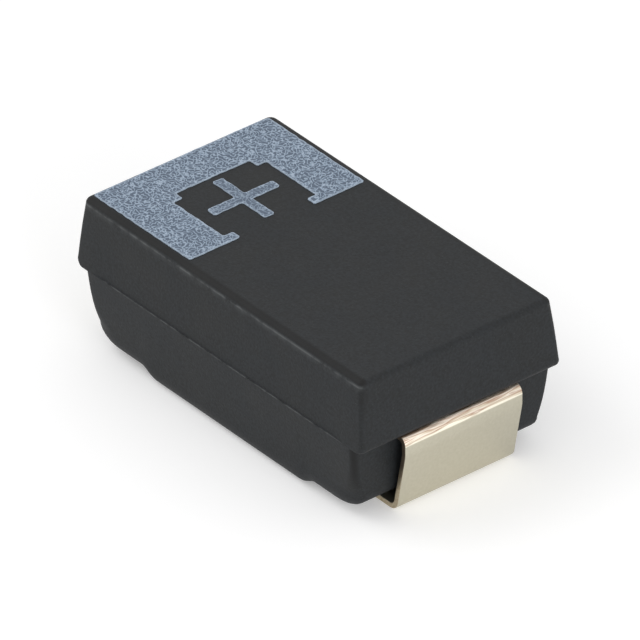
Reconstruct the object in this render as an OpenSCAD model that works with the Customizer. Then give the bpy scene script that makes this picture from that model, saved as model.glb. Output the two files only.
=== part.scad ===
// Moulded tantalum chip capacitor, D case, with a conductive polymer cathode.
// +X points to the cathode end, -X to the anode end that carries the polarity mark, +Z is up.
// The part stands on the solder faces of its two terminals, centred on the origin.

/* [Case] */
// Length of the case at the parting line
case_l = 7.3; // [6.9:0.05:7.6]
// Width of the case at the parting line
case_w = 4.1; // [4.0:0.05:4.6]
// Height of the top face above the board
case_top = 2.77; // [2.7:0.01:3.1]
// Height of the parting line above the board
parting_z = 1.5; // [1.45:0.05:1.6]
// Gap between the belly of the case and the board
standoff = 0.015; // [0.01:0.005:0.06]
// Draft of the upper walls, in degrees
upper_draft = 4.8; // [3:0.1:6]
// Draft of the lower long walls, in degrees
side_draft = 3.8; // [2:0.1:6]
// Draft of the lower end walls, in degrees
end_draft = 4; // [2:0.1:6]
// Inset of the lower long walls at the parting line
side_step = 0.04; // [0.02:0.01:0.12]
// Inset of the lower end walls at the parting line, which leaves room behind the terminals
end_step = 0.19; // [0.15:0.01:0.3]
// Chamfer under the overhang of the upper half, at the end walls
overhang_edge = 0.1; // [0.04:0.01:0.12]
// Height of the rounded edge round the top face
top_edge_h = 0.1; // [0.05:0.01:0.14]
// Corner radius of the top face, seen from above
top_corner_r = 0.12; // [0.1:0.01:0.3]
// Corner radius of the upper half at the parting line
upper_corner_r = 0.16; // [0.12:0.02:0.5]
// Corner radius of the lower half at the parting line
lower_corner_r = 0.04; // [0.02:0.01:0.3]
// Reach of the rounded lower edge along the case, at the end walls
end_edge_l = 0.54; // [0.2:0.02:0.6]
// Reach of the rounded lower edge across the case, at the long walls
side_edge_w = 0.2; // [0.1:0.02:0.4]
// Height of the rounded lower edge
lower_edge_h = 0.34; // [0.1:0.02:0.4]

/* [Terminals] */
// Thickness of the lead frame strip
strip_t = 0.1; // [0.08:0.005:0.15]
// Width of each terminal outside the case
strip_w = 2.4; // [2.2:0.05:2.6]
// Distance that a terminal stands out past the parting line
terminal_out = 0.04; // [0.02:0.005:0.15]
// Length of the solder face under the case, from the outside of the terminal
foot_l = 1.3; // [1:0.05:1.6]
// Inner radius of the bend at the shoulder
shoulder_r = 0.06; // [0.03:0.01:0.08]
// Length of the upright stretch below the shoulder
upright_l = 0.13; // [0.1:0.01:0.3]
// Angle by which the terminal leans in below the upright stretch
lean = 11.5; // [8:0.5:15]
// Inner radius of the soft bend into the lean
lean_r = 0.5; // [0.3:0.05:0.8]
// Inner radius of the bend into the foot
foot_r = 0.11; // [0.05:0.005:0.15]

/* [End recesses] */
// Clearance between a foot and the roof of the recess over it
foot_gap = 0.045; // [0.01:0.005:0.06]
// Clearance between the inner end of a foot and the recess ramp
foot_end_gap = 0.25; // [0.05:0.01:0.4]
// Length of the ramp from the recess down to the belly
ramp_l = 0.38; // [0.1:0.02:0.5]

/* [Anode] */
// Length of the sintered tantalum block
pellet_l = 4.4; // [4:0.05:4.6]
// Width of the sintered tantalum block
pellet_w = 3; // [2.6:0.05:3.2]
// Height of the sintered tantalum block
pellet_h = 1.5; // [1.3:0.05:1.6]
// Radius of the long edges of the block
pellet_edge_r = 0.15; // [0.05:0.05:0.3]
// Distance of the block's centre from the middle of the case, towards the cathode
pellet_shift = 0.3; // [0.2:0.05:0.35]
// Diameter of the tantalum wire
wire_d = 0.34; // [0.3:0.02:0.4]
// Length of wire that is sintered into the block
wire_embedded = 3; // [1:0.1:3.6]
// Length of wire between the block and its free end
wire_free = 1.05; // [0.9:0.05:1.15]
// Outer diameter of the washer on the wire
washer_d = 0.9; // [0.6:0.05:1.2]
// Thickness of the washer
washer_t = 0.16; // [0.1:0.01:0.2]

/* [Cathode layers] */
// Thickness of the conductive polymer
polymer_t = 0.05; // [0.04:0.01:0.06]
// Thickness of the carbon coat
carbon_t = 0.03; // [0.02:0.01:0.04]
// Thickness of the silver coat
silver_t = 0.05; // [0.04:0.01:0.06]
// Distance that each outer coat stops short of the one under it, at the wire end
coat_setback = 0.12; // [0.05:0.01:0.2]
// Thickness of the silver adhesive under the block
adhesive_t = 0.04; // [0.02:0.01:0.06]

/* [Lead frame inside the case] */
// Width of the anode tab under the wire
tab_w = 1.5; // [1:0.05:2]
// Length of anode tab that lies under the wire
tab_l = 0.5; // [0.3:0.05:0.6]
// Depth to which the welded wire beds into the tab
weld_depth = 0.04; // [0.02:0.01:0.06]
// Depth inside the case at which the anode strip widens to its full width
neck_depth = 0.35; // [0.25:0.05:0.4]
// Length of the cathode pad that is glued to the block
pad_l = 3.2; // [2:0.1:4]
// Angle of the slope from the cathode pad up to the parting line
joggle_angle = 70; // [60:1:75]
// Inner radius of the bends inside the case
joggle_r = 0.12; // [0.06:0.01:0.14]
// Angle of the slope from the anode tab up to the parting line
tab_angle = 30; // [25:1:35]

/* [Polarity mark] */
// Thickness of the printed film
mark_t = 0.015; // [0.01:0.005:0.02]
// Margin between the mark and the long edges of the top face
mark_side_margin = 0.15; // [0.05:0.01:0.2]
// Margin between the mark and the end of the top face
mark_end_margin = 0.13; // [0.08:0.01:0.2]
// Length of the mark along the case
mark_l = 2.42; // [2.2:0.02:2.6]
// Width of the band across the end of the case
band_w = 0.76; // [0.6:0.02:0.9]
// Width of the window inside the mark
window_w = 1.9; // [1.7:0.05:2.1]
// Side of the small squares in the corners of the window
window_tab = 0.19; // [0.1:0.01:0.25]
// Length of each arm pair of the plus sign
plus_l = 1.34; // [1:0.02:1.4]
// Width of the plus sign's arms
plus_w = 0.2; // [0.15:0.01:0.3]
// Gap between the plus sign and the band
plus_gap = 0.13; // [0.05:0.01:0.2]

/* [Hidden] */
$fn = 48;

// Angular steps on the rounded corners of the case
hull_fn = 32;
// Thickness of the plates that carry an outline into a hull
plate_t = 0.01;
// Overrun of a cutting tool past the face that it cuts
over = 0.5;
// Largest angle that one facet of a strip's bend covers, in degrees
bend_step = 7.5;

// Terminals; the top of the lead frame is level with the parting line
terminal_x = case_l / 2 + terminal_out;
frame_z = parting_z - strip_t / 2;
foot_inner_x = terminal_x - foot_l;
// Where the anode strip widens from its tab to its full width, inside the case
neck_x = case_l / 2 - neck_depth;

// Underside
roof_z = strip_t + foot_gap;
ramp_x = foot_inner_x - foot_end_gap;

// Anode block and its coats, all centred on the parting line
coats_t = polymer_t + carbon_t + silver_t;
anode_face_x = pellet_shift - pellet_l / 2;
far_face_x = pellet_shift + pellet_l / 2;
wire_tip_x = anode_face_x - wire_free;
pad_top_z = parting_z - pellet_h / 2 - coats_t - adhesive_t;
pad_mid_z = pad_top_z - strip_t / 2;
pad_end_x = far_face_x + coats_t;
pad_start_x = pad_end_x - pad_l;
tab_mid_z = parting_z - wire_d / 2 + weld_depth - strip_t / 2;
tab_end_x = wire_tip_x + tab_l;

// Polarity mark
mark_start_x = -top_half(case_l) + mark_end_margin;
mark_end_x = mark_start_x + mark_l;
mark_half_w = top_half(case_w) - mark_side_margin;
window_x = mark_start_x + band_w;
plus_x = window_x + plus_gap + plus_l / 2;

// Half of a size of the upper half at height z, from its size at the parting line
function upper_half(size, z) = size / 2 - (z - parting_z) * tan(upper_draft);

// Half of a size of the top face
function top_half(size) = upper_half(size, case_top);

// Half of a size of the lower half at height z
function lower_half(size, step, draft, z) = size / 2 - step - (parting_z - z) * tan(draft);

// Straight stretch that a strip needs between its two bends to climb by rise
function climb(rise, angle) =
    (rise - 2 * (joggle_r + strip_t / 2) * (1 - cos(angle))) / sin(angle);

// Distance along X that such a climb takes
function run_of(rise, angle) =
    2 * (joggle_r + strip_t / 2) * sin(angle) + climb(rise, angle) * cos(angle);

// A list in the opposite order
function reverse(points) = [for (i = [len(points) - 1:-1:0]) points[i]];

// Copies its child to the four corners of a rectangle with half sizes x and y
module corners(x, y) {
    for (sx = [-1, 1], sy = [-1, 1]) translate([sx * x, sy * y, 0]) children();
}

// Flat plate with rounded corners, its top face at z
module outline_plate(half_l, half_w, r, z) {
    translate([0, 0, z - plate_t])
        corners(half_l - r, half_w - r) cylinder(r = r, h = plate_t, $fn = hull_fn);
}

// Quarter-round corner as a dome of the given half lengths and height, with its rim at z = 0
module corner_dome(half_l, half_w, h) {
    scale([half_l, half_w, h])
        rotate_extrude($fn = hull_fn)
            intersection() {
                circle(1, $fn = hull_fn);
                square(1);
            }
}

// Upper half of the case: drafted walls, rounded edges round the top face and a chamfer under
// the overhang at each end
module upper_shell() {
    edge_z = case_top - top_edge_h;
    hull() {
        outline_plate(case_l / 2 - overhang_edge, case_w / 2, upper_corner_r, parting_z + plate_t);
        outline_plate(case_l / 2, case_w / 2, upper_corner_r, parting_z + overhang_edge);
        translate([0, 0, edge_z])
            corners(upper_half(case_l, edge_z) - top_corner_r,
                    upper_half(case_w, edge_z) - top_corner_r)
                corner_dome(top_corner_r, top_corner_r, top_edge_h);
    }
}

// Lower half of the case down to z_low: its end walls stand further in than its long walls
module lower_shell(z_low) {
    edge_z = z_low + lower_edge_h;
    hull() {
        outline_plate(case_l / 2 - end_step, case_w / 2 - side_step, lower_corner_r, parting_z);
        translate([0, 0, edge_z])
            corners(lower_half(case_l, end_step, end_draft, edge_z) - end_edge_l,
                    lower_half(case_w, side_step, side_draft, edge_z) - side_edge_w)
                mirror([0, 0, 1]) corner_dome(end_edge_l, side_edge_w, lower_edge_h);
    }
}

// Side view of the belly between the two end recesses, as a cutting tool
module belly_profile() {
    rotate([90, 0, 0])
        linear_extrude(case_w, center = true)
            polygon([
                [-ramp_x, roof_z], [-ramp_x + ramp_l, 0], [ramp_x - ramp_l, 0],
                [ramp_x, roof_z], [ramp_x, parting_z], [-ramp_x, parting_z]
            ]);
}

// Round-edged bar along X, the section of the anode block and of its coats
module bar(x_from, x_to, w, h, r) {
    translate([x_from, 0, parting_z])
        rotate([90, 0, 90])
            linear_extrude(x_to - x_from) {
                square([w - 2 * r, h], center = true);
                square([w, h - 2 * r], center = true);
                for (sy = [-1, 1], sz = [-1, 1])
                    translate([sy * (w / 2 - r), sz * (h / 2 - r)]) circle(r);
            }
}

// Anode block grown by t on its sides and far end, starting at x_from
module grown_block(x_from, t) {
    bar(x_from, far_face_x + t, pellet_w + 2 * t, pellet_h + 2 * t, pellet_edge_r + t);
}

// Points of a strip's edge that lies off to one side of its middle line (+1 above, -1 below).
// The strip runs from [x, z] at the given heading through moves of
// [straight length, angle of the bend after it (positive turns down), inner radius].
function edge_points(x, z, heading, moves, side, i = 0) =
    let (
        length = moves[i][0],
        angle = moves[i][1],
        mid_r = moves[i][2] + strip_t / 2,
        turn = sign(angle),
        bend_x = x + length * cos(heading),
        bend_z = z - length * sin(heading),
        centre_x = bend_x - turn * mid_r * sin(heading),
        centre_z = bend_z - turn * mid_r * cos(heading),
        end = heading + angle,
        edge_r = mid_r + side * turn * strip_t / 2,
        steps = max(1, ceil(abs(angle) / bend_step)),
        arc = [
            for (k = [0:steps])
                let (a = heading + angle * k / steps)
                    [centre_x + turn * edge_r * sin(a), centre_z + turn * edge_r * cos(a)]
        ]
    )
    angle == 0
        ? [[bend_x + side * strip_t / 2 * sin(end), bend_z + side * strip_t / 2 * cos(end)]]
        : concat(arc, edge_points(centre_x + turn * mid_r * sin(end),
                                  centre_z + turn * mid_r * cos(end),
                                  end, moves, side, i + 1));

// Strip of the given width laid along moves from [x, z], level at its start
module strip(w, x, z, moves) {
    rotate([90, 0, 0])
        linear_extrude(w, center = true)
            polygon(concat(
                [[x, z - strip_t / 2], [x, z + strip_t / 2]],
                edge_points(x, z, 0, moves, 1),
                reverse(edge_points(x, z, 0, moves, -1))
            ));
}

// Moves of a terminal outside the case, from start_x at the parting line to the end of its foot
function outer_moves(start_x) =
    let (
        mid = strip_t / 2,
        shoulder_mid = shoulder_r + mid,
        lean_mid = lean_r + mid,
        foot_mid = foot_r + mid,
        shoulder_x = terminal_x - mid - shoulder_mid,
        drop = frame_z - mid - shoulder_mid - upright_l
            - lean_mid * sin(lean) - foot_mid * (1 - sin(lean)),
        leaning_l = drop / cos(lean),
        foot_start_x = terminal_x - mid - lean_mid * (1 - cos(lean))
            - leaning_l * sin(lean) - foot_mid * cos(lean)
    )
    [
        [shoulder_x - start_x, 90, shoulder_r],
        [upright_l, lean, lean_r],
        [leaning_l, 90 - lean, foot_r],
        [foot_start_x - foot_inner_x, 0, 0]
    ];

// Moves of a climb by rise between two equal bends at the given angle
function climb_moves(start_l, rise, angle) = [
    [start_l, -angle, joggle_r],
    [climb(rise, angle), angle, joggle_r]
];

// The anode strip steps down inside the case to a narrower tab, where the wire lies on it
module anode_terminal() {
    rise = frame_z - tab_mid_z;
    tab_end = -tab_end_x;
    color("silver")
        difference() {
            mirror([1, 0, 0])
                strip(strip_w, tab_end, tab_mid_z,
                      concat(climb_moves(tab_l, rise, tab_angle),
                             outer_moves(tab_end + tab_l + run_of(rise, tab_angle))));
            for (side = [-1, 1])
                translate([-neck_x, side * (tab_w + strip_w) / 2 - strip_w / 2, tab_mid_z - strip_t])
                    cube([neck_x + tab_end_x + over, strip_w, rise + 2 * strip_t]);
            wire_rod();
        }
}

// The cathode strip steps down at the far end of the block and runs under it
module cathode_terminal() {
    rise = frame_z - pad_mid_z;
    color("silver")
        strip(strip_w, pad_start_x, pad_mid_z,
              concat(climb_moves(pad_l, rise, joggle_angle),
                     outer_moves(pad_end_x + run_of(rise, joggle_angle))));
}

// The wire as a plain rod, which is also the tool for its bores
module wire_rod() {
    translate([wire_tip_x, 0, parting_z])
        rotate([0, 90, 0]) cylinder(d = wire_d, h = wire_free + wire_embedded);
}

module tantalum_wire() {
    color("lightslategray") wire_rod();
}

module tantalum_pellet() {
    color("dimgray")
        difference() {
            grown_block(anode_face_x, 0);
            wire_rod();
        }
}

// The washer as a solid disc, which is also the tool for its seat in the polymer
module washer_disc() {
    translate([anode_face_x - washer_t, 0, parting_z])
        rotate([0, 90, 0]) cylinder(d = washer_d, h = washer_t);
}

module insulating_washer() {
    color("white")
        difference() {
            washer_disc();
            wire_rod();
        }
}

// The polymer wraps the whole block and closes round the washer
module polymer_layer() {
    color("darkslateblue")
        difference() {
            grown_block(anode_face_x - polymer_t, polymer_t);
            grown_block(anode_face_x, 0);
            washer_disc();
        }
}

module carbon_layer() {
    start_x = anode_face_x + coat_setback;
    color("black")
        difference() {
            grown_block(start_x, polymer_t + carbon_t);
            grown_block(anode_face_x - polymer_t, polymer_t);
        }
}

module silver_layer() {
    start_x = anode_face_x + 2 * coat_setback;
    color("lightgray")
        difference() {
            grown_block(start_x, coats_t);
            grown_block(anode_face_x, polymer_t + carbon_t);
        }
}

module silver_adhesive() {
    color("gainsboro")
        translate([pad_start_x, -strip_w / 2, pad_top_z])
            cube([pad_l, strip_w, adhesive_t]);
}

// Everything that the moulding compound closes round
module inner_parts() {
    anode_terminal();
    cathode_terminal();
    wire_rod();
    washer_disc();
    grown_block(anode_face_x - polymer_t, polymer_t);
    grown_block(anode_face_x + coat_setback, polymer_t + carbon_t);
    grown_block(anode_face_x + 2 * coat_setback, coats_t);
    silver_adhesive();
}

// The case is one moulding in two drafted halves, with a recess over each foot
module moulded_case() {
    color([0.16, 0.16, 0.17])
        difference() {
            union() {
                upper_shell();
                lower_shell(roof_z);
                intersection() {
                    lower_shell(standoff);
                    belly_profile();
                }
            }
            inner_parts();
        }
}

// Rectangle between two corners
module box2d(x_from, y_from, x_to, y_to) {
    translate([x_from, y_from]) square([x_to - x_from, y_to - y_from]);
}

// U-shaped band with small squares in the corners of its window
module band_outline() {
    half = window_w / 2;
    difference() {
        box2d(mark_start_x, -mark_half_w, mark_end_x, mark_half_w);
        box2d(window_x + window_tab, -half, mark_end_x - window_tab, half);
        box2d(window_x, -half + window_tab, mark_end_x, half - window_tab);
    }
}

module plus_outline() {
    translate([plus_x, 0]) {
        square([plus_l, plus_w], center = true);
        square([plus_w, plus_l], center = true);
    }
}

module polarity_mark() {
    color("lightsteelblue")
        translate([0, 0, case_top])
            linear_extrude(mark_t) {
                band_outline();
                plus_outline();
            }
}

moulded_case();
polarity_mark();
anode_terminal();
cathode_terminal();
tantalum_pellet();
tantalum_wire();
insulating_washer();
polymer_layer();
carbon_layer();
silver_layer();
silver_adhesive();
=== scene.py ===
import logging
import math
from dataclasses import dataclass
from enum import Enum

import bmesh
import bpy
from mathutils import Matrix, Vector, noise


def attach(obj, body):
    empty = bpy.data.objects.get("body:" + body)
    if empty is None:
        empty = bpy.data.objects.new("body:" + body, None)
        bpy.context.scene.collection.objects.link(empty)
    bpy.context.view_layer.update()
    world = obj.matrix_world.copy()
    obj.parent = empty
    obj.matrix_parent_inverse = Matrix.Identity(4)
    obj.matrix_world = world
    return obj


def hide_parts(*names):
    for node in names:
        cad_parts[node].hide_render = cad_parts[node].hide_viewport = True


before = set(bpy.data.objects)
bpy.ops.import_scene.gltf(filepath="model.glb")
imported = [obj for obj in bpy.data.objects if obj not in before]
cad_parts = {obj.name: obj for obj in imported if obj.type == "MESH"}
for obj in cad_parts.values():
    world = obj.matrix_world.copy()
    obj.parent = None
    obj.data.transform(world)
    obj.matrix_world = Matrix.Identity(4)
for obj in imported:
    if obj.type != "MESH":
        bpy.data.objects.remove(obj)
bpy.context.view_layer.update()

MM = 0.001
# Faces that meet at a wider angle than this keep a crisp edge.
SHARP_DEGREES = 50
LOG = logging.getLogger("tantalum_capacitor")

Colour = tuple[float, float, float, float]
Point2 = tuple[float, float]
Point3 = tuple[float, float, float]


def linear(hex_colour: str) -> Colour:
    """Turns an sRGB colour into scene-linear values.

    Args:
        hex_colour: the colour as "#rrggbb".

    Returns:
        Red, green, blue and an alpha of 1.
    """
    parts = [int(hex_colour[i:i + 2], 16) / 255 for i in (1, 3, 5)]
    red, green, blue = [p / 12.92 if p <= 0.04045 else ((p + 0.055) / 1.055) ** 2.4 for p in parts]
    return red, green, blue, 1.0


def add_node(tree: bpy.types.NodeTree, kind: str, feeds: dict | None = None,
             stops: list[tuple[float, str]] | None = None, **settings: object) -> bpy.types.Node:
    """Adds one node, sets it up and links it.

    Args:
        tree: the tree that gets the node.
        kind: the node's type name, which may leave out "ShaderNode" at its start.
        feeds: input name or number to the socket that feeds it, to a node whose first output
            does, or to a plain value.
        stops: positions and sRGB colours of a colour ramp.
        settings: attributes of the node.

    Returns:
        The new node.
    """
    node = tree.nodes.new(kind if "Node" in kind else "ShaderNode" + kind)
    for name, value in settings.items():
        setattr(node, name, value)
    for key, source in (feeds or {}).items():
        if isinstance(source, bpy.types.Node):
            source = source.outputs[0]
        if isinstance(source, bpy.types.NodeSocket):
            tree.links.new(source, node.inputs[key])
        else:
            node.inputs[key].default_value = source
    if stops:
        ramp = node.color_ramp.elements
        while len(ramp) < len(stops):
            ramp.new(1.0)
        for element, (position, colour) in zip(ramp, stops):
            element.position = position
            element.color = linear(colour)
    return node


def per_metre(size_mm: float) -> float:
    """The scale of a noise texture on Object coordinates whose grains are size_mm across."""
    return 1 / (size_mm * MM)


@dataclass
class Skin:
    """A material in the making: its nodes, its Principled shader and the Object coordinates."""

    tree: bpy.types.NodeTree
    shader: bpy.types.Node
    place: bpy.types.NodeSocket

    def coat(self, colour: bpy.types.NodeSocket, height: bpy.types.NodeSocket,
             relief_mm: float) -> None:
        """Gives the shader its colour, and a relief from a height.

        Args:
            colour: the colour all over the surface.
            height: the relief, from 0 to 1.
            relief_mm: how deep a relief of 1 is.
        """
        bump = add_node(self.tree, "Bump", {"Height": height, "Distance": relief_mm * MM})
        self.tree.links.new(colour, self.shader.inputs["Base Color"])
        self.tree.links.new(bump.outputs["Normal"], self.shader.inputs["Normal"])


@dataclass(frozen=True)
class Finish:
    """A material: what it is made of, with one way to start it and one to dress it.

    The base class is a plain fine-grained skin, which the specific finishes refine.
    """

    name: str
    dark: str
    light: str
    roughness: float
    grain_mm: float
    relief_mm: float
    metallic: float = 0.0
    ior: float = 1.5

    def material(self) -> bpy.types.Material:
        """Builds the material once, and gives the same one when asked again.

        Returns:
            The dressed material.
        """
        known = bpy.data.materials.get(self.name)
        if known:
            return known
        made = bpy.data.materials.new(self.name)
        made.use_nodes = True
        tree = made.node_tree
        tree.nodes.clear()
        shader = add_node(tree, "BsdfPrincipled",
                          {"Roughness": self.roughness, "Metallic": self.metallic})
        if not self.metallic:
            shader.inputs["IOR"].default_value = self.ior
        place = add_node(tree, "TexCoord").outputs["Object"]
        self.dress(Skin(tree, shader, place))
        add_node(tree, "OutputMaterial", {"Surface": shader.outputs["BSDF"]})
        return made

    def dress(self, skin: Skin) -> None:
        """Adds the grain: a two-tone colour and a relief from the same noise.

        Args:
            skin: the material in the making.
        """
        tree, place = skin.tree, skin.place
        grain = add_node(tree, "TexNoise",
                         {"Vector": place, "Scale": per_metre(self.grain_mm), "Detail": 3.0})
        tone = add_node(tree, "ValToRGB", {"Fac": grain},
                        stops=[(0.35, self.dark), (0.65, self.light)])
        skin.coat(tone.outputs["Color"], grain.outputs["Fac"], self.relief_mm)


@dataclass(frozen=True)
class MouldedEpoxy(Finish):
    """Silica-filled epoxy, transfer moulded in a spark-eroded tool.

    The filler and the tool's texture give a matt skin with a fine grain, the flow of the
    compound gives it a faint cloudiness, and a few filler grains show as paler specks.
    """

    cloud_mm: float = 0.9
    grain_share: float = 0.6
    gloss_swing: float = 0.05
    speck_mm: float = 0.06
    speck_cover: float = 0.3
    # Size of the patches that break up the painted edge highlight.
    highlight_break_mm: float = 0.2
    speck: str = "#4a4c49"
    # Colours of the painted shade on polished radii, and of the painted highlight on edges.
    polished: str = "#030303"
    highlight_colour: str = "#525556"

    def dress(self, skin: Skin) -> None:
        """Adds clouding, spark-eroded grain, filler specks, uneven gloss, and painted shade and
        painted highlights on the edges.

        The mesh says where the polished radii get painted shade, darkened towards a deeper black,
        and where an edge gets a pale painted highlight, broken into patches.

        Args:
            skin: the material in the making.
        """
        tree, place = skin.tree, skin.place
        cloud = add_node(tree, "TexNoise",
                         {"Vector": place, "Scale": per_metre(self.cloud_mm), "Detail": 4.0})
        grain = add_node(tree, "TexNoise",
                         {"Vector": place, "Scale": per_metre(self.grain_mm), "Detail": 2.0})
        flow = add_node(tree, "Mix", {"Factor": self.grain_share, 2: cloud, 3: grain})
        tone = add_node(tree, "ValToRGB", {"Fac": flow},
                        stops=[(0.38, self.dark), (0.62, self.light)])
        grit = add_node(tree, "TexVoronoi", {"Vector": place, "Scale": per_metre(self.speck_mm)})
        near = add_node(tree, "MapRange",
                        {"Value": grit, "From Min": 0.06, "From Max": 0.16,
                         "To Min": self.speck_cover, "To Max": 0.0})
        specks = add_node(tree, "Mix",
                          {"Factor": near, 6: tone, 7: linear(self.speck)}, data_type="RGBA")
        # Painted shade: polished radii darkened towards a deeper black.
        radius = add_node(tree, "Attribute", attribute_name="polish")
        rim_shaded = add_node(tree, "Mix",
                        {"Factor": radius.outputs["Fac"], 6: specks.outputs[2],
                         7: linear(self.polished)}, data_type="RGBA")
        # Painted highlight: a pale line along edges, broken into patches.
        edge = add_node(tree, "Attribute", attribute_name="wear")
        broken = add_node(tree, "TexNoise",
                          {"Vector": place, "Scale": per_metre(self.highlight_break_mm), "Detail": 3.0})
        patchy = add_node(tree, "MapRange", {"Value": broken, "From Min": 0.35, "From Max": 0.6})
        highlighted = add_node(tree, "Math", {0: edge.outputs["Fac"], 1: patchy}, operation="MULTIPLY")
        edged = add_node(tree, "Mix",
                         {"Factor": highlighted, 6: rim_shaded.outputs[2],
                          7: linear(self.highlight_colour)}, data_type="RGBA")
        gloss = add_node(tree, "MapRange",
                         {"Value": cloud, "From Min": 0.3, "From Max": 0.7,
                          "To Min": self.roughness - self.gloss_swing,
                          "To Max": self.roughness + self.gloss_swing})
        tree.links.new(gloss.outputs["Result"], skin.shader.inputs["Roughness"])
        skin.coat(edged.outputs[2], grain.outputs["Fac"], self.relief_mm)


@dataclass(frozen=True)
class MarkedFilm(Finish):
    """Pale marking film on the matt epoxy, which covers its grain unevenly.

    It dries in short curled ridges with the dark skin showing between them, which gives the
    eye a blue-grey surface with a fine light and dark maze.
    """

    mid: str = "#7d8fa3"
    curl: float = 0.3
    ridge: float = 0.125
    outline_cover: float = 0.8
    thin_cover: float = 0.4

    def dress(self, skin: Skin) -> None:
        """Adds the maze of ridges, in colour and in relief, and the paler drawn outline.

        A ridge runs wherever a smooth noise crosses its middle value, which draws short
        curled lines of an even width. The mesh says where the outline is, and where the film
        inside it has stayed thin.

        Args:
            skin: the material in the making.
        """
        tree, place = skin.tree, skin.place
        field = add_node(tree, "TexNoise",
                         {"Vector": place, "Scale": per_metre(self.grain_mm), "Detail": 0.0,
                          "Distortion": self.curl})
        off = add_node(tree, "Math", {0: field, 1: 0.5}, operation="SUBTRACT")
        away = add_node(tree, "Math", {0: off}, operation="ABSOLUTE")
        maze = add_node(tree, "MapRange",
                        {"Value": away, "From Max": self.ridge, "To Min": 1.0, "To Max": 0.0})
        tone = add_node(tree, "ValToRGB", {"Fac": maze},
                        stops=[(0.0, self.dark), (0.5, self.mid), (1.0, self.light)])
        drawn = add_node(tree, "Attribute", attribute_name="outline")
        full = add_node(tree, "MapRange",
                        {"Value": drawn.outputs["Fac"], "To Max": self.outline_cover})
        edged = add_node(tree, "Mix",
                         {"Factor": full, 6: tone, 7: linear(self.light)}, data_type="RGBA")
        starved = add_node(tree, "MapRange",
                           {"Value": drawn.outputs["Fac"], "From Min": -1.0, "From Max": 0.0,
                            "To Min": self.thin_cover, "To Max": 0.0})
        film = add_node(tree, "Mix",
                        {"Factor": starved, 6: edged.outputs[2],
                         7: linear(self.dark)}, data_type="RGBA")
        skin.coat(film.outputs[2], maze.outputs["Result"], self.relief_mm)


@dataclass(frozen=True)
class TinPlate(Finish):
    """Matt tin plated on a rolled strip, then bent in a die.

    The plate is a soft warm grey with fine rolling lines across the strip. The die wipes it
    at the shoulder and lets the copper under it show in streaks, between bands of painted
    highlight, with painted shade under the case.
    """

    # Band colours: painted highlights (ridge, pale, near-white), copper streaks, painted shade.
    ridge: str = "#fbf5e4"
    pale_highlight: str = "#d6c9b4"
    copper: str = "#b89a86"
    near_white_highlight: str = "#ece2d4"
    shade: str = "#97806c"
    shoulder_low_mm: float = 1.33
    shoulder_high_mm: float = 1.5
    streak_mm: float = 0.06
    streak_squeeze: float = 0.08

    def dress(self, skin: Skin) -> None:
        """Adds the plate's grain, and bands of painted light and copper along the shoulder.

        The bands follow each other up the bend: a painted highlight on the ridge where it starts,
        then paler and near-white painted highlights with copper streaks between, and painted
        shade under the case. A noise drawn out along the bend shifts them up and down, so that
        they wander and cross.

        Args:
            skin: the material in the making.
        """
        tree, place = skin.tree, skin.place
        grain = add_node(tree, "TexNoise",
                         {"Vector": place, "Scale": per_metre(self.grain_mm), "Detail": 3.0})
        plate = add_node(tree, "ValToRGB", {"Fac": grain},
                         stops=[(0.3, self.dark), (0.7, self.light)])
        # Streaks run along the bend, about twelve times as long as they are wide.
        drawn_out = add_node(tree, "Mapping",
                             {"Vector": place, "Scale": (1.0, self.streak_squeeze, 1.0)})
        streaks = add_node(tree, "TexNoise",
                           {"Vector": drawn_out,
                            "Scale": per_metre(self.streak_mm), "Detail": 2.0})
        wander = add_node(tree, "MapRange",
                          {"Value": streaks, "From Min": 0.25, "From Max": 0.75,
                           "To Min": -0.35, "To Max": 0.25})
        height = add_node(tree, "SeparateXYZ", {"Vector": place})
        climb = add_node(tree, "MapRange",
                         {"Value": height.outputs["Z"], "From Min": self.shoulder_low_mm * MM,
                          "From Max": self.shoulder_high_mm * MM})
        shifted = add_node(tree, "Math", {0: climb, 1: wander}, operation="ADD")
        # Painted highlights and painted shade in bands up the shoulder, with copper streaks
        # between.
        copper_and_painted_light_bands = add_node(tree, "ValToRGB", {"Fac": shifted},
                         stops=[(0.12, self.ridge), (0.26, self.pale_highlight), (0.38, self.copper),
                                (0.46, self.near_white_highlight), (0.56, self.pale_highlight), (0.66, self.copper),
                                (0.78, self.near_white_highlight), (1.0, self.shade)])
        begun = add_node(tree, "MapRange", {"Value": climb, "From Min": 0.0, "From Max": 0.12})
        colour = add_node(tree, "Mix", {"Factor": begun, 6: plate, 7: copper_and_painted_light_bands}, data_type="RGBA")
        skin.coat(colour.outputs[2], grain.outputs["Fac"], self.relief_mm)


@dataclass(frozen=True)
class ShearedEdge(Finish):
    """Copper alloy cut in a shear before plating, so that its edge carries little tin.

    It is a dull beige, darkened to a dull brown towards the top: painted shade, standing in
    for the dark case side that the cut edge reflects.
    """

    # Colour of the painted shade on the edge, and the heights over which it comes in.
    painted_edge_shade: str = "#6b6052"
    shade_start_mm: float = 0.45
    shade_full_mm: float = 0.95

    def dress(self, skin: Skin) -> None:
        """Adds the grain, and painted shade that darkens the edge up the strip.

        Args:
            skin: the material in the making.
        """
        super().dress(skin)
        tree, base = skin.tree, skin.shader.inputs["Base Color"]
        grain = base.links[0].from_socket
        # Painted shade: the edge darkens up the strip.
        height = add_node(tree, "SeparateXYZ", {"Vector": skin.place})
        upper = add_node(tree, "MapRange",
                         {"Value": height.outputs["Z"], "From Min": self.shade_start_mm * MM,
                          "From Max": self.shade_full_mm * MM})
        edge = add_node(tree, "Mix",
                        {"Factor": upper, 6: grain, 7: linear(self.painted_edge_shade)}, data_type="RGBA")
        tree.links.new(edge.outputs[2], base)


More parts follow.
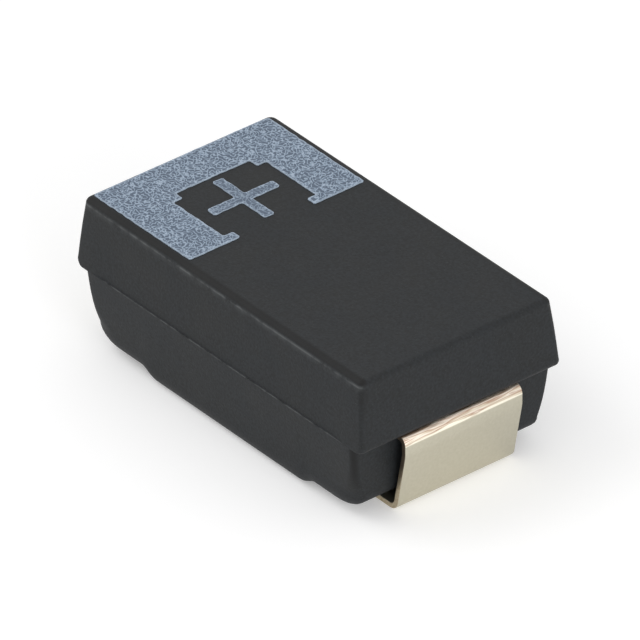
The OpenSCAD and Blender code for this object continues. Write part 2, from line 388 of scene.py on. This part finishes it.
EPOXY = MouldedEpoxy(name="black_epoxy_moulding_compound", dark="#121415", light="#1f2225",
                     roughness=0.65, grain_mm=0.045, relief_mm=0.003, ior=1.4)
FILM = MarkedFilm(name="pale_marking_film", dark="#546274", light="#abbacb",
                  roughness=0.6, grain_mm=0.062, relief_mm=0.003)
TIN = TinPlate(name="matt_tin_plated_strip", dark="#bfbaa8", light="#c5c0af",
               roughness=0.45, grain_mm=0.05, relief_mm=0.001, metallic=1.0)
SHEARED = ShearedEdge(name="sheared_copper_alloy_edge", dark="#a8997f", light="#c2b69c",
                      roughness=0.5, grain_mm=0.05, relief_mm=0.003, metallic=1.0)
# Tantalum powder pressed and sintered: dark grey, matt and visibly porous.
SINTERED = Finish(name="sintered_tantalum_powder", dark="#3c3b3d", light="#6a696c",
                  roughness=0.7, grain_mm=0.03, relief_mm=0.01, metallic=0.6)
# Drawn tantalum wire: blue-grey metal with a satin gloss.
WIRE = Finish(name="drawn_tantalum_wire", dark="#7c828c", light="#9aa1ab",
              roughness=0.3, grain_mm=0.06, relief_mm=0.001, metallic=1.0)
# Punched PTFE sheet: waxy white.
WASHER = Finish(name="punched_ptfe_washer", dark="#d8d8d2", light="#e6e6e1",
                roughness=0.45, grain_mm=0.1, relief_mm=0.001, ior=1.35)
# Dried conductive polymer dispersion: a blue-black film with a slight gloss.
POLYMER = Finish(name="dried_conductive_polymer", dark="#14182a", light="#20263d",
                 roughness=0.4, grain_mm=0.12, relief_mm=0.002, ior=1.5)
# Dipped graphite paint: a dead matt black.
CARBON = Finish(name="dipped_graphite_paint", dark="#191919", light="#262626",
                roughness=0.85, grain_mm=0.05, relief_mm=0.004)
# Dipped silver paint: flakes in a binder, pale grey and half matt.
SILVER = Finish(name="dipped_silver_paint", dark="#a9a9a6", light="#c6c6c3",
                roughness=0.55, grain_mm=0.05, relief_mm=0.004, metallic=0.8)
# Cured silver adhesive: the same flakes, thicker and less even.
GLUE = Finish(name="cured_silver_adhesive", dark="#959592", light="#b7b7b3",
              roughness=0.6, grain_mm=0.09, relief_mm=0.006, metallic=0.7)


def linked_object(name: str, data: bpy.types.ID) -> bpy.types.Object:
    """Makes an object of a mesh, a lamp or a camera and links it to the scene.

    Args:
        name: the object's name.
        data: what the object shows.

    Returns:
        The object, at the origin.
    """
    made = bpy.data.objects.new(name, data)
    bpy.context.scene.collection.objects.link(made)
    return made


def new_object(name: str, bm: bmesh.types.BMesh, material: bpy.types.Material) -> bpy.types.Object:
    """Turns a mesh in millimetres into an object in metres with its material.

    Args:
        name: the object's name.
        bm: the mesh, which is freed.
        material: the material of all its faces.

    Returns:
        The object, linked to the scene, at the origin.
    """
    bmesh.ops.transform(bm, matrix=Matrix.Scale(MM, 4), verts=bm.verts)
    mesh = bpy.data.meshes.new(name)
    bm.to_mesh(mesh)
    bm.free()
    mesh.materials.append(material)
    return linked_object(name, mesh)


@dataclass
class Ring:
    """One level of the case's outline, in millimetres.

    half_l and half_w are half its length and width, and corner_l and corner_w the reach of
    its rounded corners along each. z is its height over a recess, and follow says how much of
    the drop from there to the belly it takes on. polish is how much painted shade its
    long sides get as polished radii, wear how much painted highlight they get, and
    corner_polish how much painted shade its corners get as polished radii. inset draws
    the middle of its long sides in, between the corners, and all_along is false where the
    painted highlight keeps to that stretch as well.
    """

    half_l: float
    half_w: float
    corner_l: float
    corner_w: float
    z: float
    follow: float = 0.0
    polish: float = 0.0
    wear: float = 0.0
    corner_polish: float = 0.0
    inset: float = 0.0
    all_along: bool = True


@dataclass
class MouldedCase:
    """The case: two drafted halves that meet at a parting line, moulded in one shot.

    The upper half overhangs the lower one, the top edges are rounded, the lower ends have a
    long soft edge, and the underside has a recess over each terminal's foot.
    """

    length: float = 7.3
    width: float = 4.1
    top: float = 2.77
    parting: float = 1.5
    standoff: float = 0.015
    upper_draft: float = 4.8
    side_draft: float = 5.8
    end_draft: float = 2.9
    end_step: float = 0.24
    side_step: float = 0.004
    overhang_edge: float = 0.1
    overhang_h: float = 0.15
    top_edge_h: float = 0.1
    top_edge: float = 0.13
    top_corner: float = 0.15
    upper_corner: float = 0.1
    lower_corner: float = 0.12
    corner_growth: float = 4.0
    end_edge: float = 0.6
    side_edge: float = 0.2
    lower_edge_h: float = 0.34
    recess_roof: float = 0.145
    recess_x: float = 2.2
    ramp: float = 0.38
    plain_margin: float = 0.03
    least_corner: float = 0.01
    flash: float = 0.02
    flash_x: float = 2.9
    # Height under the top edge and strength of the painted highlight at its foot.
    highlight_foot_h: float = 0.02
    highlight_foot: float = 0.3
    # Strength of the painted shade on the polished rim, edge radius and corners.
    rim_polish: float = 0.4
    edge_polish: float = 0.8
    corner_polish: float = 0.6
    corner_steps: int = 10
    edge_steps: int = 8
    station_gap: float = 0.01

    def floor_at(self, x: float) -> float:
        """Height of the underside: the belly, or the roof of a recess past its ramp.

        Args:
            x: the place along the case.

        Returns:
            The height.
        """
        way = min(max((abs(x) - self.recess_x + self.ramp) / self.ramp, 0), 1)
        soft = way * way * (3 - 2 * way)
        return self.standoff + (self.recess_roof - self.standoff) * soft

    def upper_half_size(self, size: float, z: float) -> float:
        """Half of a size of the upper half at height z."""
        return size / 2 - (z - self.parting) * math.tan(math.radians(self.upper_draft))

    def upper_ring(self, z: float, pull: float, corner: float, **marks: float) -> Ring:
        """A level of the upper half, drawn in by pull from its drafted walls."""
        return Ring(self.upper_half_size(self.length, z) - pull,
                    self.upper_half_size(self.width, z) - pull, corner, corner, z, **marks)

    def upper_rings(self) -> list[Ring]:
        """Levels from the top face down to the parting line, with the flash along it.

        Returns:
            The rings, highest first.
        """
        edge_z = self.top - self.top_edge_h
        inner = self.top_edge + self.plain_margin
        found = [self.upper_ring(edge_z, inner, 2 * self.least_corner)]
        found[0].z = self.top
        for i in range(self.edge_steps, -1, -1):
            turn = math.radians(90 * i / self.edge_steps)
            pull = self.top_edge * (1 - math.cos(turn))
            # The upper part of the radius gets painted shade as a polished radius, and its foot a
            # painted highlight.
            polish = self.rim_polish if i == self.edge_steps else self.edge_polish * (i > 2)
            corner = max(self.top_corner - pull, self.least_corner)
            ring = self.upper_ring(edge_z, pull, corner, polish=polish, wear=max(1 - i / 2, 0),
                                   corner_polish=self.rim_polish * (i > 1))
            ring.z += self.top_edge_h * math.sin(turn)
            found.append(ring)
        # Just under the edge: the painted highlight's foot, and painted shade on the corners.
        found.append(self.upper_ring(edge_z - self.highlight_foot_h, 0, self.top_corner,
                                     wear=self.highlight_foot, corner_polish=self.corner_polish))
        low_z = self.parting + self.overhang_h
        for share in (0.1, 0.2, 0.4, 0.7, 1.0):
            z = edge_z + (low_z - edge_z) * share
            corner = self.top_corner + (self.upper_corner - self.top_corner) * min(2 * share, 1)
            # Painted shade on the corners fades out down the wall.
            found.append(self.upper_ring(z, 0, corner, inset=self.flash * share,
                                         corner_polish=max(self.corner_polish - share, 0)))
        # Share of the overhang's height, then how much of the inset is left, then the painted
        # highlight.
        steps = ((0.3, 1.0, 0.0), (0.55, 1.0, 0.0), (0.75, 1.0, 0.0), (0.86, 1.0, 0.0),
                 (0.91, 0.0, 0.7), (0.97, 0.0, 0.7), (1.0, 0.0, 0.4))
        for down, left, wear in steps:
            roll = self.overhang_edge * (1 - math.sqrt(1 - down ** 2))
            found.append(Ring(self.length / 2 - roll,
                              min(self.upper_half_size(self.width, low_z - self.overhang_h * down),
                                  self.width / 2), self.upper_corner, self.upper_corner,
                              low_z - self.overhang_h * down, wear=wear,
                              inset=self.flash * left, all_along=False))
        return found

    def lower_rings(self) -> list[Ring]:
        """Levels from under the overhang down to the underside.

        Returns:
            The rings, highest first.
        """
        high_l, high_w = self.length / 2 - self.end_step, self.width / 2 - self.side_step
        r = self.lower_corner
        found = [Ring(high_l, high_w, r, r, self.parting)]
        drop = self.parting - self.recess_roof - self.lower_edge_h
        end_run = drop * math.tan(math.radians(self.end_draft))
        side_run = drop * math.tan(math.radians(self.side_draft))
        for share in (0.01, 0.2, 0.4, 0.6, 0.7, 0.8, 0.9, 1.0):
            grown = share ** self.corner_growth
            # Painted shade on the lower corners, fading out towards the underside.
            found.append(Ring(high_l - end_run * share, high_w - side_run * share,
                              r + (self.end_edge - r) * grown, r + (self.side_edge - r) * grown,
                              self.parting - drop * share, follow=share,
                              corner_polish=1 - share ** 3))
        for i in range(1, self.edge_steps + 1):
            turn = math.radians(90 * i / self.edge_steps)
            shrink = 1 - math.cos(turn)
            found.append(Ring(
                high_l - end_run - self.end_edge * shrink,
                high_w - side_run - self.side_edge * shrink,
                self.end_edge * math.cos(turn), self.side_edge * math.cos(turn),
                self.recess_roof + self.lower_edge_h * (1 - math.sin(turn)), follow=1.0))
        return found

    def side_stations(self) -> list[float]:
        """Places along a long side at which every ring has a point, from +X to -X."""
        half = [3.2, self.flash_x, 2.5, *(self.recess_x - self.ramp * i / 6 for i in range(7)),
                1.35, 0.9, 0.45]
        return half + [0.0] + [-x for x in reversed(half)]

    def ring_points(self, ring: Ring) -> list[tuple[Point3, float, float]]:
        """Walks once round a ring, from the corner at +X and +Y.

        Args:
            ring: the level.

        Returns:
            Each point with a share from 0 on an end wall to 1 on a long wall, and a share from
            0 on a wall to 1 on a corner, as many and in the same order for every ring.
        """
        flat: list[tuple[float, float, float, float]] = []
        n = self.corner_steps
        stations = self.side_stations()
        straight = ring.half_l - ring.corner_l
        for quarter, (sx, sy) in enumerate(((1, 1), (-1, 1), (-1, -1), (1, -1))):
            for i in range(n + 1):
                a = math.radians(90 * (quarter + i / n))
                flat.append((sx * (ring.half_l - ring.corner_l) + ring.corner_l * math.cos(a),
                             sy * (ring.half_w - ring.corner_w) + ring.corner_w * math.sin(a),
                             abs(math.sin(a)), abs(math.sin(2 * a))))
            if sx == sy:
                for i, x in enumerate(stations):
                    # The outermost places give way where a large corner reaches past them.
                    room = straight - self.station_gap * (1 + min(i, len(stations) - 1 - i))
                    inset = ring.inset * (abs(x) <= self.flash_x)
                    flat.append((sx * max(min(x, room), -room), sy * (ring.half_w - inset),
                                 1.0, 0.0))
            else:
                reach = (ring.half_w - ring.corner_w) * sy
                flat += [(sx * ring.half_l, reach * f, 0.0, 0.0) for f in (0.5, 0.0, -0.5)]
        return [((x, y, ring.z - ring.follow * (self.recess_roof - self.floor_at(x))), side, turn)
                for x, y, side, turn in flat]

    def build(self) -> bpy.types.Object:
        """Lofts the rings, closes the top and the underside, and dresses the case.

        Returns:
            The case.
        """
        bm = bmesh.new()
        polish = bm.verts.layers.float.new("polish")
        wear = bm.verts.layers.float.new("wear")
        loops: list[list[bmesh.types.BMVert]] = []
        for ring in self.upper_rings() + self.lower_rings():
            loop = []
            for place, side, turn in self.ring_points(ring):
                point = bm.verts.new(place)
                # Painted shade on polished radii and corners.
                point[polish] = ring.polish * side + ring.corner_polish * turn
                # Painted highlight along the edges; some rings keep it between the flash's ends.
                highlighted = ring.all_along or abs(place[0]) <= self.flash_x
                point[wear] = ring.wear * side * highlighted
                loop.append(point)
            loops.append(loop)
        count = len(loops[0])
        for upper, lower in zip(loops, loops[1:]):
            for i in range(count):
                j = (i + 1) % count
                bm.faces.new((upper[i], lower[i], lower[j], upper[j]))
        bm.faces.new(loops[0])
        self.close_underside(bm, loops[-1])
        bmesh.ops.remove_doubles(bm, verts=bm.verts, dist=1e-5)
        bmesh.ops.recalc_face_normals(bm, faces=bm.faces)
        for face in bm.faces:
            face.smooth = True
        case = new_object("case_moulding", bm, EPOXY.material())
        case.data.set_sharp_from_angle(angle=math.radians(SHARP_DEGREES))
        shade = case.modifiers.new("even_shading", "WEIGHTED_NORMAL")
        shade.keep_sharp = True
        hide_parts("moulded_case")
        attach(case, "root")
        return case

    def close_underside(self, bm: bmesh.types.BMesh, rim: list[bmesh.types.BMVert]) -> None:
        """Fills the underside in strips across the case, so that it follows the ramps.

        Args:
            bm: the case's mesh.
            rim: the last ring's points.
        """
        n, stations = self.corner_steps + 1, len(self.side_stations())
        left = rim[n:n + stations]
        start = n + stations + n + 3 + n
        right = rim[start:start + stations][::-1]
        for i in range(stations - 1):
            bm.faces.new((left[i], left[i + 1], right[i + 1], right[i]))
        bm.faces.new(rim[n + stations - 1:start + 1])
        bm.faces.new(rim[start + stations - 1:] + rim[:n + 1])


@dataclass
class PolarityMark:
    """The mark at the anode end: a band with two arms round a window, and a plus sign."""

    start: float = -3.4583
    length: float = 2.465
    half_width: float = 1.7934
    band: float = 0.805
    window: float = 1.9
    tab: float = 0.19
    plus_x: float = -1.8533
    plus_size: float = 1.34
    plus_width: float = 0.2
    low: float = 2.76
    high: float = 2.7845
    step: float = 0.03
    ragged: float = 0.014
    corner: float = 0.025
    outline: float = 0.04
    wobble_per_mm: float = 9.0
    wobble_slice: float = 0.37
    seed: int = 7

    def band_outline(self) -> list[Point2]:
        """Corners of the band, its arms and the small squares in the window's corners.

        Returns:
            The corners, anticlockwise.
        """
        end, high, half, q = self.start + self.length, self.half_width, self.window / 2, self.tab
        w = self.start + self.band
        lower = [(self.start, -high), (end, -high), (end, -half + q), (end - q, -half + q),
                 (end - q, -half), (w + q, -half), (w + q, -half + q), (w, -half + q)]
        return lower + [(x, -y) for x, y in reversed(lower)]

    def plus_outline(self) -> list[Point2]:
        """Corners of the plus sign.

        Returns:
            The corners, anticlockwise.
        """
        a, b = self.plus_width / 2, self.plus_size / 2
        arm = [(b, -a), (b, a), (a, a)]
        turned: list[Point2] = []
        for _ in range(4):
            turned += [(self.plus_x + x, y) for x, y in arm]
            arm = [(-y, x) for x, y in arm]
        return turned

    def worn_edge(self, corners: list[Point2]) -> list[tuple[Vector, Vector]]:
        """Rounds an outline's corners, cuts it into short steps and roughens it.

        Args:
            corners: the outline's sharp corners, anticlockwise, with edges along X and Y.

        Returns:
            Each point of the printed edge, with its partner inside the drawn outline.
        """
        edges = [Vector(b) - Vector(a) for a, b in zip(corners, corners[1:] + corners[:1])]
        eased: list[tuple[Vector, Vector]] = []
        for i, here in enumerate(corners):
            before, after = edges[i - 1].normalized(), edges[i].normalized()
            inwards = Vector((-before.y - after.y, before.x + after.x)) * self.outline
            for way, reach in ((-before, edges[i - 1].length), (after, edges[i].length)):
                at = Vector(here) + way * min(self.corner, reach / 3)
                eased.append((at, at + inwards))
        points: list[tuple[Vector, Vector]] = []
        for a, b in zip(eased, eased[1:] + eased[:1]):
            parts = max(1, round((b[0] - a[0]).length / self.step))
            for k in range(parts):
                p, q = a[0].lerp(b[0], k / parts), a[1].lerp(b[1], k / parts)
                spot = Vector((p.x * self.wobble_per_mm, p.y * self.wobble_per_mm,
                               self.wobble_slice))
                shift = noise.noise_vector(spot).xy * self.ragged
                points.append((p + shift, q + shift))
        return points

    def build(self) -> bpy.types.Object:
        """Fills both outlines as thin films on the top face and dresses them.

        Returns:
            The mark.
        """
        # Without a seed of its own the noise starts from the time of day.
        noise.seed_set(self.seed)
        bm = bmesh.new()
        drawn = bm.verts.layers.float.new("outline")
        for corners, cover in ((self.band_outline(), 0.0), (self.plus_outline(), -1.0)):
            rim = self.worn_edge(corners)
            foot = [bm.verts.new((*p, self.low)) for p, _ in rim]
            edge = [bm.verts.new((*p, self.high)) for p, _ in rim]
            inner = [bm.verts.new((*q, self.high)) for _, q in rim]
            for loop, value in ((foot, 1.0), (edge, 1.0), (inner, cover)):
                for point in loop:
                    point[drawn] = value
            for outer, other in ((foot, edge), (edge, inner)):
                for i in range(len(rim)):
                    bm.faces.new((outer[i - 1], outer[i], other[i], other[i - 1]))
            bm.faces.new(inner)
            bm.faces.new(foot[::-1])
        # The fill is laid out on each face's plane, so the new faces need their normals first.
        bm.normal_update()
        bmesh.ops.triangulate(bm, faces=[f for f in bm.faces if len(f.verts) > 4])
        mark = new_object("polarity_film", bm, FILM.material())
        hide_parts("polarity_mark")
        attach(mark, "root")
        return mark


class End(Enum):
    """The two ends of the case, with the direction along X in which each one faces."""

    ANODE = -1
    CATHODE = 1


@dataclass
class Bend:
    """A corner of a strip's middle line: its place, its middle radius and half the width."""

    x: float
    z: float
    radius: float
    half_width: float


@dataclass
class StripSweep:
    """Geometry Nodes that lay a flat strip along a middle line with rounded bends."""

    name: str = "strip_sweep"
    segments: int = 10
    edge_segments: int = 3
    sideways: float = 0.8

    def tree(self) -> bpy.types.NodeTree:
        """Builds the node tree: fillet the line, sweep the section, set the width, dress it.

        Returns:
            The node group, with named inputs for the strip's sizes and its two finishes.
        """
        tree = bpy.data.node_groups.new(self.name, "GeometryNodeTree")
        face = tree.interface
        face.new_socket("Geometry", in_out="INPUT", socket_type="NodeSocketGeometry")
        for label in ("Strip Width", "Strip Thickness", "Edge Radius"):
            face.new_socket(label, in_out="INPUT", socket_type="NodeSocketFloat")
        face.new_socket("Bend Segments", in_out="INPUT", socket_type="NodeSocketInt")
        for label in ("Plated Face", "Sheared Edge"):
            face.new_socket(label, in_out="INPUT", socket_type="NodeSocketMaterial")
        face.new_socket("Geometry", in_out="OUTPUT", socket_type="NodeSocketGeometry")
        given = add_node(tree, "NodeGroupInput").outputs

        radius = add_node(tree, "GeometryNodeInputNamedAttribute", {"Name": "bend_radius"},
                          data_type="FLOAT").outputs["Attribute"]
        line = add_node(tree, "GeometryNodeMeshToCurve", {"Mesh": given["Geometry"]})
        bent = add_node(tree, "GeometryNodeFilletCurve",
                        {"Curve": line, "Radius": radius,
                         "Count": given["Bend Segments"]}, mode="POLY")
        section = add_node(tree, "GeometryNodeCurvePrimitiveQuadrilateral",
                           {"Width": given["Strip Width"], "Height": given["Strip Thickness"]})
        eased = add_node(tree, "GeometryNodeFilletCurve",
                         {"Curve": section, "Radius": given["Edge Radius"],
                          "Count": self.edge_segments}, mode="POLY")
        swept = add_node(tree, "GeometryNodeCurveToMesh",
                         {"Curve": bent, "Profile Curve": eased, "Fill Caps": True})
        # The strip narrows where its own half width is less than the section's.
        wide = add_node(tree, "GeometryNodeInputNamedAttribute", {"Name": "half_width"},
                        data_type="FLOAT").outputs["Attribute"]
        half = add_node(tree, "Math", {0: given["Strip Width"], 1: 0.5}, operation="MULTIPLY")
        grow = add_node(tree, "Math", {0: wide, 1: half}, operation="SUBTRACT")
        where = add_node(tree, "SeparateXYZ",
                         {"Vector": add_node(tree, "GeometryNodeInputPosition")})
        side = add_node(tree, "Math", {0: where.outputs["Y"]}, operation="SIGN")
        shift = add_node(tree, "Math", {0: side, 1: grow}, operation="MULTIPLY")
        move = add_node(tree, "CombineXYZ", {"Y": shift})
        shaped = add_node(tree, "GeometryNodeSetPosition", {"Geometry": swept, "Offset": move})
        plated = add_node(tree, "GeometryNodeSetMaterial",
                          {"Geometry": shaped, "Material": given["Plated Face"]})
        facing = add_node(tree, "SeparateXYZ",
                          {"Vector": add_node(tree, "GeometryNodeInputNormal")})
        across = add_node(tree, "Math", {0: facing.outputs["Y"]}, operation="ABSOLUTE")
        cut = add_node(tree, "FunctionNodeCompare", {0: across, 1: self.sideways},
                       data_type="FLOAT", operation="GREATER_THAN")
        real = add_node(tree, "GeometryNodeRealizeInstances", {"Geometry": plated})
        dressed = add_node(tree, "GeometryNodeSetMaterial",
                           {"Geometry": real, "Selection": cut, "Material": given["Sheared Edge"]})
        add_node(tree, "NodeGroupOutput", {"Geometry": dressed})
        return tree

    def bake(self, name: str, bends: list[Bend], sizes: dict[str, object]) -> bpy.types.Object:
        """Runs the nodes on a middle line and keeps the result as a plain mesh.

        Args:
            name: the finished object's name.
            bends: the corners of the middle line, in millimetres.
            sizes: the value of each named input.

        Returns:
            The strip as a mesh object with no modifier.
        """
        guide = bpy.data.meshes.new(name + "_line")
        guide.from_pydata([(b.x * MM, 0, b.z * MM) for b in bends],
                          [(i, i + 1) for i in range(len(bends) - 1)], [])
        for label, sizes_mm in (("bend_radius", [b.radius for b in bends]),
                                ("half_width", [b.half_width for b in bends])):
            column = guide.attributes.new(label, "FLOAT", "POINT")
            column.data.foreach_set("value", [size * MM for size in sizes_mm])
        holder = linked_object(name + "_line", guide)
        group = bpy.data.node_groups.get(self.name) or self.tree()
        sweep = holder.modifiers.new("sweep", "NODES")
        sweep.node_group = group
        for socket in group.interface.items_tree:
            if socket.in_out == "INPUT" and socket.name in sizes:
                sweep[socket.identifier] = sizes[socket.name]
        graph = bpy.context.evaluated_depsgraph_get()
        mesh = bpy.data.meshes.new_from_object(holder.evaluated_get(graph))
        bpy.data.objects.remove(holder)
        mesh.name = name
        bm = bmesh.new()
        bm.from_mesh(mesh)
        bmesh.ops.remove_doubles(bm, verts=bm.verts, dist=1e-8)
        bmesh.ops.recalc_face_normals(bm, faces=bm.faces)
        for f in bm.faces:
            f.smooth = True
        bm.to_mesh(mesh)
        bm.free()
        mesh.set_sharp_from_angle(angle=math.radians(SHARP_DEGREES))
        return linked_object(name, mesh)


@dataclass
class Terminal:
    """A lead frame strip: it leaves the case at the parting line and folds down and under.

    Inside the case it steps down to the wire's tab or to the pad under the anode block.
    """

    end: End
    width: float = 2.4
    thickness: float = 0.1
    edge_radius: float = 0.012
    frame_top: float = 1.5
    face_x: float = 3.69
    foot_l: float = 1.3
    shoulder_r: float = 0.06
    upright_l: float = 0.13
    lean: float = 11.5
    lean_r: float = 0.5
    foot_r: float = 0.11
    joggle_r: float = 0.12
    neck_x: float = 3.3
    neck_step: float = 0.0001
    tab_width: float = 1.5
    tab_x: float = 2.45
    tab_l: float = 0.5
    tab_z: float = 1.32
    tab_slope: float = 30.0
    pad_x: float = -0.57
    pad_l: float = 3.2
    pad_z: float = 0.53
    pad_slope: float = 70.0

    def middle(self, inner: float) -> float:
        """Radius of the strip's middle line in a bend of the given inner radius."""
        return inner + self.thickness / 2

    def level(self) -> float:
        """Height of the middle line where the strip leaves the case."""
        return self.frame_top - self.thickness / 2

    def joggle(self, start_x: float, low: float, slope: float, half: float) -> list[Bend]:
        """Two equal bends that bring the strip up to the level at which it leaves the case.

        Args:
            start_x: where the first bend starts.
            low: height of the middle line there.
            slope: angle of the stretch between the bends.
            half: half the strip's width.

        Returns:
            The two corners of the middle line.
        """
        r, angle = self.middle(self.joggle_r), math.radians(slope)
        corner = start_x + r * math.tan(angle / 2)
        return [Bend(corner, low, r, half),
                Bend(corner + (self.level() - low) / math.tan(angle), self.level(), r, half)]

    def inner_bends(self) -> list[Bend]:
        """The strip's corners inside the case.

        Returns:
            The corners, from the inner end outwards.
        """
        full = self.width / 2
        if self.end is End.CATHODE:
            return [Bend(self.pad_x, self.pad_z, 0, full),
                    *self.joggle(self.pad_x + self.pad_l, self.pad_z, self.pad_slope, full)]
        tab = self.tab_width / 2
        return [Bend(self.tab_x, self.tab_z, 0, tab),
                *self.joggle(self.tab_x + self.tab_l, self.tab_z, self.tab_slope, tab),
                Bend(self.neck_x - self.neck_step, self.level(), 0, tab),
                Bend(self.neck_x + self.neck_step, self.level(), 0, full)]

    def outer_bends(self) -> list[Bend]:
        """The strip's corners outside the case.

        Returns:
            The shoulder, the lean, the foot and the foot's end.
        """
        mid, full, tilt = self.thickness / 2, self.width / 2, math.radians(self.lean)
        x = self.face_x - mid
        lean_z = (self.level() - self.middle(self.shoulder_r) - self.upright_l
                  - self.middle(self.lean_r) * math.tan(tilt / 2))
        foot = x - (lean_z - mid) * math.tan(tilt)
        return [Bend(x, self.level(), self.middle(self.shoulder_r), full),
                Bend(x, lean_z, self.middle(self.lean_r), full),
                Bend(foot, mid, self.middle(self.foot_r), full),
                Bend(self.face_x - self.foot_l, mid, 0, full)]

    def build(self) -> bpy.types.Object:
        """Sweeps the strip along its line and dresses it.

        Returns:
            The strip.
        """
        label = self.end.name.lower()
        bends = [Bend(self.end.value * b.x, b.z, b.radius, b.half_width)
                 for b in self.inner_bends() + self.outer_bends()]
        strip = StripSweep().bake(f"{label}_strip", bends, {
            "Strip Width": self.width * MM, "Strip Thickness": self.thickness * MM,
            "Edge Radius": self.edge_radius * MM, "Bend Segments": StripSweep.segments,
            "Plated Face": TIN.material(), "Sheared Edge": SHEARED.material()})
        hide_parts(f"{label}_terminal")
        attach(strip, "root")
        return strip


@dataclass
class Anode:
    """The pieces that the case closes round; their solids are kept and dressed."""

    def dress(self) -> list[bpy.types.Object]:
        """Gives each inner solid its own finish.

        Returns:
            The dressed objects.
        """
        finishes = {
            "tantalum_pellet": SINTERED, "tantalum_wire": WIRE, "insulating_washer": WASHER,
            "polymer_layer": POLYMER, "carbon_layer": CARBON, "silver_layer": SILVER,
            "silver_adhesive": GLUE,
        }
        dressed = []
        for name, finish in finishes.items():
            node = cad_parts[name]
            node.data.materials.clear()
            node.data.materials.append(finish.material())
            dressed.append(node)
        return dressed


@dataclass
class Studio:
    """Pale floor, white surround, soft light and the camera."""

    floor_size: float = 400.0
    floor_tone: float = 0.88
    floor_lift: float = 0.25
    tent_light: float = 0.7
    tent_seen: float = 1.0
    azimuth: float = 51.261
    elevation: float = 33.431
    roll: float = 0.562
    distance: float = 241.9
    aim_z: float = 1.335
    lens: float = 852.0
    shift: Point2 = (0.0043, 0.0035)

    def build(self) -> None:
        """Builds the floor, the surround, the lamps and the camera."""
        self.floor()
        self.surround()
        self.lamp("key_softbox", (-26.0, -26.0, 44.0), size=34.0, level=0.22)
        self.lamp("fill_softbox", (50.0, -12.0, 18.0), size=30.0, level=0.34)
        self.camera()

    def looked_at(self, tree: bpy.types.NodeTree) -> bpy.types.NodeSocket:
        """Tells the rays that show a backdrop from those that light the object.

        Args:
            tree: the backdrop's nodes.

        Returns:
            1 for a ray that the camera sees straight, in a gloss or through a piece, else 0.
        """
        rays = add_node(tree, "LightPath").outputs
        direct = add_node(tree, "Math", {0: rays["Is Camera Ray"], 1: rays["Is Glossy Ray"]},
                          operation="MAXIMUM")
        return add_node(tree, "Math", {0: direct, 1: rays["Is Transmission Ray"]},
                        operation="MAXIMUM").outputs[0]

    def floor(self) -> None:
        """A pale floor that shows white where nothing shades it."""
        bm = bmesh.new()
        bmesh.ops.create_grid(bm, x_segments=8, y_segments=8, size=self.floor_size / 2)
        made = bpy.data.materials.new("white_paper_floor")
        made.use_nodes = True
        tree = made.node_tree
        tree.nodes.clear()
        tone = self.floor_tone
        paper = add_node(tree, "BsdfDiffuse", {"Color": (tone, tone, tone, 1.0)})
        lift = add_node(tree, "Math", {0: self.looked_at(tree), 1: self.floor_lift},
                        operation="MULTIPLY")
        glow = add_node(tree, "Emission", {"Strength": lift})
        both = add_node(tree, "AddShader", {0: paper, 1: glow})
        add_node(tree, "OutputMaterial", {"Surface": both})
        floor = new_object("paper_floor", bm, made)

    def surround(self) -> None:
        """An even white tent all round, which is also the background."""
        world = bpy.data.worlds.new("white_tent")
        bpy.context.scene.world = world
        world.use_nodes = True
        tree = world.node_tree
        tree.nodes.clear()
        level = add_node(tree, "MapRange",
                         {"Value": self.looked_at(tree), "To Min": self.tent_light,
                          "To Max": self.tent_seen})
        sky = add_node(tree, "Background", {"Strength": level, "Color": (1.0, 1.0, 1.0, 1.0)})
        add_node(tree, "OutputWorld", {"Surface": sky})

    def lamp(self, name: str, place: Point3, size: float, level: float) -> None:
        """Hangs one soft square lamp that faces the object.

        Args:
            name: the lamp's name.
            place: its centre, in millimetres.
            size: its side, in millimetres.
            level: the light that it brings to a surface that faces it, as a share of full.
        """
        at = Vector(place) * MM
        away = at.length
        light = bpy.data.lights.new(name, "AREA")
        light.size = size * MM
        light.energy = level * math.pi ** 2 * away ** 2
        lamp = linked_object(name, light)
        lamp.location = at
        lamp.rotation_euler = (-at).to_track_quat("-Z", "Y").to_euler()

    def camera(self) -> None:
        """Sets the camera by its angles round the object and its distance from the aim."""
        a, e, r = (math.radians(v) for v in (self.azimuth, self.elevation, self.roll))
        back = Vector((math.sin(a) * math.cos(e), -math.cos(a) * math.cos(e), math.sin(e)))
        level = Vector((math.cos(a), math.sin(a), 0))
        up = back.cross(level)
        right = math.cos(r) * level - math.sin(r) * up
        up = math.sin(r) * level + math.cos(r) * up
        data = bpy.data.cameras.new("view")
        data.lens = self.lens
        data.shift_x, data.shift_y = self.shift
        data.clip_start, data.clip_end = 0.01, 10.0
        camera = linked_object("view", data)
        place = Vector((0, 0, self.aim_z)) + back * self.distance
        turn = Matrix((right, up, back)).transposed().to_4x4()
        camera.matrix_world = Matrix.Translation(place * MM) @ turn
        bpy.context.scene.camera = camera
        bpy.context.scene.view_settings.view_transform = "Standard"


def main() -> None:
    """Builds the studio and the capacitor's sub-assemblies in order."""
    logging.basicConfig(level=logging.INFO, format="%(name)s: %(message)s")
    Studio().build()
    pieces = [MouldedCase().build(), PolarityMark().build()]
    pieces += [Terminal(end).build() for end in End]
    pieces += Anode().dress()
    for piece in pieces:
        LOG.info("%s: %d faces", piece.name, len(piece.data.polygons))


if __name__ == "__main__":
    main()
